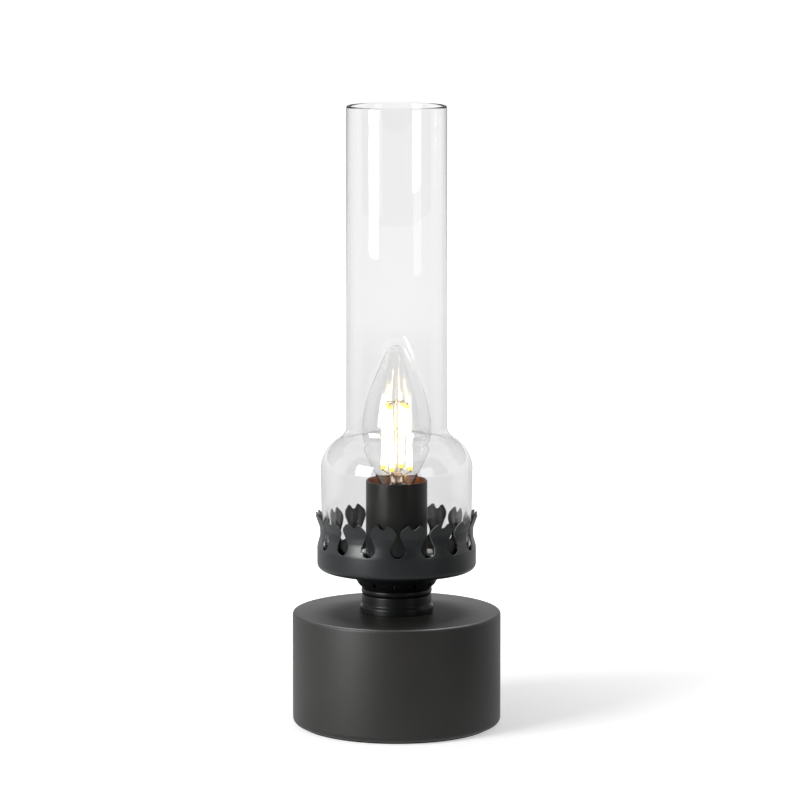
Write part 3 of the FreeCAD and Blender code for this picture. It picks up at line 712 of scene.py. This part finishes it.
class LAMP_OT_chimney(bpy.types.Operator):
    """Turns the blown chimney"""

    bl_idname = "table_lamp.chimney"
    bl_label = "Glass chimney"

    def execute(self, context):
        sizes = context.scene.lamp_glass
        finishes = context.scene.lamp_finishes
        foot_r, bulge_r = sizes.foot_diameter / MM / 2, sizes.bulge_diameter / MM / 2
        throat_r, tube_r = sizes.throat_diameter / MM / 2, sizes.tube_diameter / MM / 2
        bottom, top = low("glass_chimney"), high("glass_chimney")
        shoulder = bottom + sizes.shoulder / MM
        throat = shoulder + (bulge_r - throat_r) * math.tan(sizes.slope)
        outline = [(foot_r, bottom, 0), (bulge_r, shoulder, 16.5), (throat_r, throat, 6.6)]
        outline += [(tube_r, bottom + sizes.straight / MM, 0), (tube_r, top, 0)]
        # Fire-polished ends, which are nearly half round.
        corners = walled(outline, sizes.wall / MM, 0.95, 0.95)
        chimney = lathe("chimney_glass", corners, steps=256, segments=12)
        # Mouth-blown soda-lime glass: clear face on, grey where the eye looks along the wall,
        # and faintly wavy.
        glass = clear_glass(
            "mouth-blown soda-lime glass",
            tuple(finishes.chimney),
            density=22,
            ripple_mm=60,
            depth_mm=0.05,
            low_tint=0.953,
        )
        finish_piece(chimney, glass, "chimney", "chimney_glass", "glass_chimney")
        return {"FINISHED"}


class LAMP_OT_candle_lamp(bpy.types.Operator):
    """Makes the candle lamp: bulb, stem and filaments"""

    bl_idname = "table_lamp.candle_lamp"
    bl_label = "Candle lamp"

    def execute(self, context):
        sizes = context.scene.lamp_glass
        finishes = context.scene.lamp_finishes
        r = sizes.bulb_diameter / MM / 2
        wall = sizes.bulb_wall / MM
        foot = low("bulb_tip_contact")
        neck, top = low("bulb_glass"), high("bulb_glass")
        rim = high("bulb_cap")
        neck_r, belly_low, belly_high = 8.15, foot + 46, foot + 66.3
        tip_slope = math.radians(23.2)
        tip_r = r - (top - belly_high) * math.tan(tip_slope)
        outline = [(neck_r, neck, 0), (neck_r, rim + 1, 3), (r, belly_low, 35), (r, belly_high, 50)]
        outline += [(tip_r, top, 5), (0, top, 0)]
        bulb = lathe("candle_bulb", walled(outline, wall), steps=192, segments=14)
        # Machine-blown lamp glass: thin, clear and almost without ripple.
        glass = clear_glass(
            "machine-blown lamp glass",
            tuple(finishes.bulb),
            density=25,
            ripple_mm=25,
            depth_mm=0.02,
        )
        finish_piece(bulb, glass, "bulb", "lamp_glass", "bulb_glass")
        flare_r, flare_bore_r, stem_r, bore_r, rod_r = 7.3, 6.5, 3, 2.2, 0.9
        cone_top, stem_top, rod_top = neck + 7, foot + 32.8, high("bulb_stem")
        bore_top = stem_top - 0.8
        corners = [(flare_bore_r, neck, 0), (flare_r, neck, 0), (flare_r, neck + 1, 0)]
        corners += [(stem_r, cone_top, 2), (stem_r, stem_top, 1), (rod_r, stem_top + 1, 0)]
        corners += [(rod_r, rod_top, 0.5), (0, rod_top, 0), (0, bore_top, 0)]
        corners += [(bore_r, bore_top, 0), (bore_r, cone_top, 0)]
        stem = lathe("stem_glass", corners, steps=48, segments=5)
        # Flame-worked stem glass: thick, and wavy where it was pinched round the wires. Its amber
        # tint is a painted warm glow from the filaments.
        pinch = clear_glass(
            "flame-worked stem glass", linear("#e8a868"), density=150, ripple_mm=4, depth_mm=0.05
        )
        finish_piece(stem, pinch, "bulb", "stem_glass", "bulb_stem")
        self.filaments(context, foot)
        return {"FINISHED"}

    def filaments(self, context, foot):
        """The four rods, which lean in towards the top."""
        sizes = context.scene.lamp_glass
        finishes = context.scene.lamp_finishes
        low_z, high_z = low("bulb_filaments"), high("bulb_filaments")
        # Each end's angle from the front, distance from the axis and height above the lamp's foot.
        lower_end, upper_end = (72, 7.2, 34.8), (57, 6.2, 68.4)
        ends = []
        for angle, r, z in (lower_end, upper_end):
            turn = math.radians(angle)
            ends.append(Vector((r * math.sin(turn), -r * math.cos(turn), foot + z)) * MM)
        way = ends[1] - ends[0]
        start_clean()
        bpy.ops.mesh.primitive_cylinder_add(
            vertices=24,
            radius=sizes.filament / 2,
            depth=way.length,
            location=(ends[0] + ends[1]) / 2,
            rotation=way.to_track_quat("Z", "Y").to_euler(),
        )
        rod = bpy.context.object
        rod.name = "filament_rods"
        bpy.ops.object.transform_apply(location=True, rotation=True, scale=True)
        bpy.ops.object.mode_set(mode="EDIT")
        # Its two end caps are the faces with more than four corners.
        pick(rod, "faces", lambda face: len(face.verts) > 4)
        bpy.ops.mesh.bevel(offset=0.4 * MM, segments=3, affect="EDGES")
        start_clean()
        rods = copies(rod, [TURN / 4 * i for i in range(4)])
        smooth(rods, 50)
        # Phosphor silicone round a row of chips: white hot along its length, yellow at its ends.
        phosphor = glowing_phosphor(
            "phosphor-coated filament", tuple(finishes.glow), finishes.glow_strength, low_z, high_z
        )
        finish_piece(rods, phosphor, "bulb", "filament_phosphor", "bulb_filaments")


# Finishes of the fittings that keep their own shape. Each row has its name, colour, darker colour,
# roughness, width and depth of its grain in millimetres, metallic, and the nodes that have it.
FITTING_FINISHES = (
    # Zinc plate: bright, slightly bluish, with a fine brushed look that dulls its reflections.
    ("zinc-plated steel", "#c9cacb", "#a9abad", 0.3, 0.5, 0.004, 1.0,
     ("sleeve_screws", "threaded_tube", "clamp_washer", "clamp_nut", "terminal_screws",
      "block_fixing_screw")),
    # Rolled brass strip: a warm yellow metal with soft, dulled reflections.
    ("sprung brass", "#c9a253", "#b08a40", 0.28, 1.5, 0.003, 1.0,
     ("shell_contact", "centre_contact", "lead_terminals", "socket_cap")),
    # Nickel plate on drawn brass: a warm grey metal, brighter than the zinc.
    ("nickel-plated brass", "#cfcac0", "#b9b3a7", 0.25, 2.0, 0.004, 1.0,
     ("bulb_cap", "filament_supports")),
    # Iron as it leaves the sand: dark, dull and rough.
    ("sand-cast iron", "#4a4845", "#2f2d2b", 0.75, 1.2, 0.12, 0.6, ("base_weight",)),
    # Glass fused into the lamp's cap: hard, black and glossy.
    ("black lamp glass", "#1a1a1c", "#101012", 0.15, 3.0, 0.01, 0.0, ("bulb_insulator",)),
    # A set drop of solder: pale grey and slightly uneven.
    ("tinned solder", "#b8b8b6", "#9a9a98", 0.35, 1.0, 0.02, 1.0, ("bulb_tip_contact",)),
    # Lacquered board: green, satin and slightly mottled.
    ("glass-fibre board", "#2e6b45", "#24563a", 0.4, 0.8, 0.01, 0.0, ("bulb_driver",)),
    # Moulded nylon: satin, with the fine texture of its mould.
    ("moulded black nylon", "#232323", "#191919", 0.5, 0.8, 0.01, 0.0, ("cord_bush",)),
    ("moulded white nylon", "#e2e0d8", "#d2cfc5", 0.45, 0.8, 0.01, 0.0, ("terminal_block",)),
    # Extruded insulation: smooth, with a soft shine, brown on the live lead and blue on the other.
    ("brown extruded insulation", "#5b3420", "#4c2b1a", 0.45, 2.0, 0.01, 0.0, ("live_lead",)),
    ("blue extruded insulation", "#2f5fa5", "#284f8c", 0.45, 2.0, 0.01, 0.0, ("neutral_lead",)),
)


class LAMP_OT_fittings(bpy.types.Operator):
    """Gives the fittings that keep their own shape their metals and plastics"""

    bl_idname = "table_lamp.fittings"
    bl_label = "Fittings"

    def execute(self, context):
        for name, base, dark, roughness, grain_mm, depth_mm, metallic, nodes in FITTING_FINISHES:
            material = grained(name, linear(base), dark, roughness, grain_mm, depth_mm, metallic)
            for node in nodes:
                for place in frame["nodes"][node].material_slots:
                    place.material = material
        return {"FINISHED"}


# Stage


class LAMP_OT_stage(bpy.types.Operator):
    """Sets the floor, the studio light and the camera"""

    bl_idname = "table_lamp.stage"
    bl_label = "Stage"

    def execute(self, context):
        self.floor()
        self.world(context)
        self.softbox(
            "key_softbox", -53, distance=1.5, height=0.537, width=0.69, tall=0.886, power=30
        )
        self.softbox(
            "fill_softbox", 48, distance=1.7, height=0.52, width=0.6, tall=0.92, power=3.2
        )
        back = self.softbox(
            "back_softbox", 180, distance=0.6, height=1.85, width=1.6, tall=0.6, power=103
        )
        back.data.color = (0.96, 0.94, 1.0)
        # Flags keep this one off everything but the base, whose top it grazes.
        lit = bpy.data.collections.new("lit by the back softbox")
        lit.objects.link(bpy.data.objects["base_shell"])
        back.light_linking.receiver_collection = lit
        self.screen(
            "dark_screen",
            "black felt screen",
            radius=3.2,
            tall=4.0,
            foot=0.05,
            depths=(-10, -0.4),
            hex_colour="#1b1b1b",
        )
        self.screen(
            "low_screen",
            "grey card screen",
            radius=2.5,
            tall=1.5,
            foot=0.45,
            depths=(1.0, 10),
            hex_colour="#000000",
            glow=0.2,
        )
        self.camera(context)
        return {"FINISHED"}

    def floor(self):
        """A wide pale floor that keeps the lamp's shadow and turns plain white further out.

        Glass shows it plain white. Gloss shows a studio floor that is brighter on the key's side.
        """
        start_clean()
        bpy.ops.mesh.primitive_plane_add(size=80, location=(0, 0, 0))
        floor = bpy.context.object
        floor.name = "floor"
        material = new_material("matt white floor")
        place = add_node(material, "ShaderNodeTexCoord").outputs["Object"]
        apart = add_node(material, "ShaderNodeSeparateXYZ", {"Vector": place}).outputs
        away = add_node(material, "ShaderNodeVectorMath", {0: place}, operation="LENGTH")
        level = dict(add_node(material, "ShaderNodeLightPath").outputs.items())
        level.update({"across": apart["X"], "deep": apart["Y"], "away": away.outputs["Value"]})
        # Each row is a level that goes evenly from one value to another while what it follows
        # goes from start to end: metres on the floor, or a count of bounces.
        for name, follows, start, end, first, last in (
            ("white", "away", 0.06, 0.3, 0.5, 0.9),
            ("key side", "across", -0.4, 0.2, 1.15, 0.42),
            ("foreground", "away", 0.2, 0.5, 1.0, 0.22),
            ("far front", "away", 1.1, 1.8, 0.0, 0.9),
            ("background", "away", 0.2, 0.35, 1.2, 0.6),
            ("far back", "away", 0.5, 0.9, 0.0, 0.8),
            ("in glass", "Transmission Depth", 0, 1, 0.0, 0.88),
            ("behind", "deep", -0.1, 0.3, 0.0, 1.0),
        ):
            inputs = {"Value": level[follows], "From Min": start, "From Max": end}
            inputs.update({"To Min": first, "To Max": last})
            level[name] = add_node(material, "ShaderNodeMapRange", inputs).outputs["Result"]
        # Each row puts two levels together, or compares one with a number.
        for name, first, operation, second in (
            ("on camera", "Is Camera Ray", "MULTIPLY", "white"),
            ("front", "key side", "MULTIPLY", "foreground"),
            ("front", "front", "MAXIMUM", "far front"),
            ("back", "background", "MAXIMUM", "far back"),
            ("back", "back", "MAXIMUM", "in glass"),
            ("back", "back", "MULTIPLY", "behind"),
            ("in gloss", "front", "MAXIMUM", "back"),
            ("through glass", "Glossy Depth", "LESS_THAN", 0.5),
            ("plain", "through glass", "MAXIMUM", "in gloss"),
            ("direct", "Diffuse Depth", "LESS_THAN", 0.5),
            ("seen", "Is Transmission Ray", "MAXIMUM", "Is Glossy Ray"),
            ("seen", "seen", "MULTIPLY", "direct"),
        ):
            inputs = {0: level[first], 1: level.get(second, second)}
            combined = add_node(material, "ShaderNodeMath", inputs, operation=operation)
            level[name] = combined.outputs[0]
        inputs = {"Base Color": linear("#ececec"), "Roughness": 0.9, "Specular IOR Level": 0.1}
        inputs.update({"Emission Color": WHITE, "Emission Strength": level["on camera"]})
        lit = add_node(material, "ShaderNodeBsdfPrincipled", inputs).outputs["BSDF"]
        inputs = {"Color": WHITE, "Strength": level["plain"]}
        plain = add_node(material, "ShaderNodeEmission", inputs).outputs[0]
        mixed = add_node(material, "ShaderNodeMixShader", {0: level["seen"], 1: lit, 2: plain})
        add_node(material, "ShaderNodeOutputMaterial", {"Surface": mixed.outputs[0]})
        floor.data.materials.append(material)

    def world(self, context):
        """White behind the lamp, and an even, softer light from all round."""
        world = bpy.data.worlds.new("studio")
        world.use_nodes = True
        world.node_tree.nodes.clear()
        context.scene.world = world
        path = add_node(world, "ShaderNodeLightPath").outputs
        inputs = {0: path["Diffuse Depth"], 1: 0.5}
        direct = add_node(world, "ShaderNodeMath", inputs, operation="LESS_THAN").outputs[0]
        seen = path["Is Camera Ray"]
        for operation, other in (
            ("MAXIMUM", path["Is Glossy Ray"]),
            ("MAXIMUM", path["Is Transmission Ray"]),
            ("MULTIPLY", direct),
        ):
            inputs = {0: seen, 1: other}
            seen = add_node(world, "ShaderNodeMath", inputs, operation=operation).outputs[0]
        inputs = {"Value": seen, "To Min": 0.25, "To Max": 1.0}
        strength = add_node(world, "ShaderNodeMapRange", inputs).outputs["Result"]
        light = add_node(world, "ShaderNodeBackground", {"Color": WHITE, "Strength": strength})
        add_node(world, "ShaderNodeOutputWorld", {"Surface": light.outputs[0]})

    def softbox(self, name, azimuth, distance, height, width, tall, power):
        """A rectangular light that faces the lamp. Azimuth is from the front towards +X."""
        turn = math.radians(azimuth)
        place = Vector((distance * math.sin(turn), -distance * math.cos(turn), height))
        way = Vector((0, 0, LAMP_MIDDLE)) - place
        bpy.ops.object.light_add(
            type="AREA", location=place, rotation=way.to_track_quat("-Z", "Y").to_euler()
        )
        light = bpy.context.object
        light.name = name
        light.data.shape = "RECTANGLE"
        light.data.size = width
        light.data.size_y = tall
        light.data.energy = power
        return light

    def screen(self, name, finish, radius, tall, foot, depths, hex_colour, glow=0.0):
        """A part of an upright round screen, between two depths, that the camera doesn't see.

        Gloss shows it. A dark one shows through glass too, and a glowing one doesn't.
        """
        start_clean()
        bpy.ops.mesh.primitive_cylinder_add(
            vertices=64,
            radius=radius,
            depth=tall,
            end_fill_type="NOTHING",
            location=(0, 0, foot + tall / 2),
        )
        screen = bpy.context.object
        screen.name = name
        near, far = depths
        bpy.ops.object.mode_set(mode="EDIT")
        pick(screen, "faces", lambda face: not near < face.calc_center_median().y < far)
        bpy.ops.mesh.delete(type="FACE")
        take(screen)
        bpy.ops.object.transform_apply(location=True, rotation=True, scale=True)
        material = new_material(finish)
        inputs = {"Base Color": linear(hex_colour), "Roughness": 1.0, "Specular IOR Level": 0.0}
        if glow:
            # From inside glass, the card is as white as what is behind it.
            depth = add_node(material, "ShaderNodeLightPath").outputs["Transmission Depth"]
            levels = {"Value": depth, "To Min": glow, "To Max": 1.0}
            strength = add_node(material, "ShaderNodeMapRange", levels).outputs["Result"]
            inputs.update({"Emission Color": WHITE, "Emission Strength": strength})
        shader = add_node(material, "ShaderNodeBsdfPrincipled", inputs).outputs["BSDF"]
        add_node(material, "ShaderNodeOutputMaterial", {"Surface": shader})
        screen.data.materials.append(material)
        screen.visible_camera = False
        screen.visible_diffuse = False
        screen.visible_shadow = False
        screen.visible_transmission = not glow

    def camera(self, context):
        """A camera about 2.1 m away that looks 8 degrees down at the lamp."""
        looks_down = 8.03
        bpy.ops.object.camera_add(
            location=(0.0017, -2.0863, 0.4604), rotation=(math.radians(90 - looks_down), 0, 0)
        )
        camera = bpy.context.object
        camera.data.lens = 188.24
        camera.data.sensor_width = 36
        camera.data.clip_end = 60
        context.scene.camera = camera
        context.scene.view_settings.view_transform = "Standard"


class LAMP_PT_pieces(bpy.types.Panel):
    """Lists the lamp's pieces"""

    bl_label = "Table Lamp"
    bl_idname = "LAMP_PT_pieces"
    bl_space_type = "VIEW_3D"
    bl_region_type = "UI"
    bl_category = "Table Lamp"

    def draw(self, context):
        for operator in PIECES:
            self.layout.operator(operator.bl_idname)
        for group in ("lamp_stand", "lamp_crown", "lamp_glass", "lamp_finishes"):
            sizes = getattr(context.scene, group)
            for name in sizes.__annotations__:
                self.layout.prop(sizes, name)


PIECES = (
    LAMP_OT_base,
    LAMP_OT_neck,
    LAMP_OT_gallery,
    LAMP_OT_socket,
    LAMP_OT_candle_lamp,
    LAMP_OT_chimney,
    LAMP_OT_fittings,
    LAMP_OT_stage,
)
CLASSES = (StandSizes, CrownSizes, GlassSizes, Finishes) + PIECES + (LAMP_PT_pieces,)


def register():
    for each in CLASSES:
        bpy.utils.register_class(each)
    bpy.types.Scene.lamp_stand = bpy.props.PointerProperty(type=StandSizes)
    bpy.types.Scene.lamp_crown = bpy.props.PointerProperty(type=CrownSizes)
    bpy.types.Scene.lamp_glass = bpy.props.PointerProperty(type=GlassSizes)
    bpy.types.Scene.lamp_finishes = bpy.props.PointerProperty(type=Finishes)


def unregister():
    del bpy.types.Scene.lamp_finishes
    del bpy.types.Scene.lamp_glass
    del bpy.types.Scene.lamp_crown
    del bpy.types.Scene.lamp_stand
    for each in reversed(CLASSES):
        bpy.utils.unregister_class(each)


def main():
    """Makes every piece in order."""
    register()
    for operator in PIECES:
        group, name = operator.bl_idname.split(".")
        getattr(getattr(bpy.ops, group), name)()


if __name__ == "__main__":
    main()
